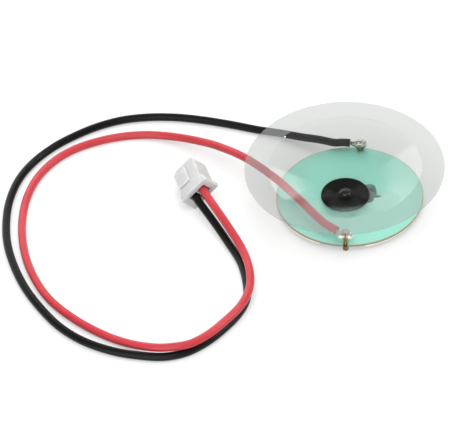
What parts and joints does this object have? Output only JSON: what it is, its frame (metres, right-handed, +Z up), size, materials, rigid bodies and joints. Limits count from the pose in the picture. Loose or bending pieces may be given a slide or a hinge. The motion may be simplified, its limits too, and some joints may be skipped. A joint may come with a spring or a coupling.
{
  "type": "piezo tweeter",
  "caption": "Piezo tweeter driver: clear film cone glued to a hub on a round green board with a piezo bender below, and a red and a black lead soldered to it that end in a crimp housing.",
  "frame": {"origin": "under the cone's axis, on the surface that the two terminal pins stand on", "axes": "+Z up along the cone's axis, towards its open mouth; -Y towards the terminal of the red lead; the connector lies on the -X side"},
  "size_m": [0.0807, 0.0658, 0.0087],
  "materials": {
    "clear_film": "clear thermoformed film",
    "black_plastic": "moulded, smooth",
    "black_glue": "cured bead, glossy",
    "green_board": "mint green lacquered laminate",
    "tan_laminate": "bare laminate",
    "shim_brass": "rolled sheet",
    "ceramic": "fired, matt",
    "silver": "fired silver paste",
    "terminal_brass": "turned",
    "solder": "bright solder",
    "tinned_copper": "tinned",
    "red_insulation": "soft, satin",
    "black_insulation": "soft, satin",
    "nylon": "natural nylon, satin",
    "contact_metal": "stamped, tin plated"
  },
  "bodies": {
    "root": {"cone_film": "clear_film", "coupler_hub": "black_plastic", "apex_glue": "black_glue", "carrier_board": "green_board", "support_ring": "tan_laminate", "piezo_shim": "shim_brass", "piezo_ceramic": "ceramic", "silver_electrode": "silver", "front_terminal_pin": "terminal_brass", "rear_terminal_pin": "terminal_brass", "front_solder_joint": "solder", "rear_solder_joint": "solder", "shim_solder_dot": "solder", "electrode_solder_dot": "solder", "red_strands": "tinned_copper", "black_strands": "tinned_copper", "red_contact_strands": "tinned_copper", "black_contact_strands": "tinned_copper", "shim_lead": "tinned_copper", "electrode_lead": "tinned_copper", "red_wire": "red_insulation", "black_wire": "black_insulation", "connector_housing": "nylon", "red_contact": "contact_metal", "black_contact": "contact_metal"}
  },
  "joints": []
}
